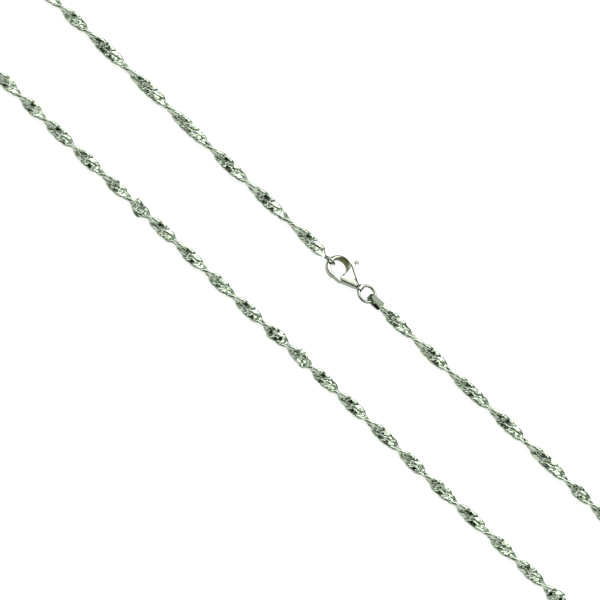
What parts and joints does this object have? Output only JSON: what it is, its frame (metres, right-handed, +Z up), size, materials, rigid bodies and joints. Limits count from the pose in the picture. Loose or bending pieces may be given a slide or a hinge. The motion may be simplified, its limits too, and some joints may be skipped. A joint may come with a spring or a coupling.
{
  "type": "singapore chain necklace",
  "caption": "Closed neck chain of flat curb links twisted into a glittering rope, joined by a drop-shaped trigger clasp, a jump ring and a folded end tag.",
  "frame": {"origin": "under the middle of the closed loop, on the surface that it lies on", "axes": "+X along the two strands, from the clasp's hook towards its eye; +Y towards the strand with the clasp; +Z up"},
  "size_m": [0.2148, 0.029, 0.0028],
  "materials": {
    "chain_silver": "diamond-cut sterling silver",
    "polished_silver": "polished sterling silver"
  },
  "bodies": {
    "necklace": {"chain": "chain_silver", "end_ring": "polished_silver", "clasp_body": "polished_silver", "lever_rivet": "polished_silver", "jump_ring": "polished_silver", "end_tag": "polished_silver"},
    "lever": {"clasp_lever": "polished_silver"}
  },
  "joints": [
    {"name": "lever_hinge", "type": "hinge", "parent": "necklace", "child": "lever", "pos_m": [0.00424, 0.00885, 0.00128], "axis": [0, 0, -1], "range_deg": [0, 22], "stiffness_Nm_per_rad": 0.001}
  ]
}
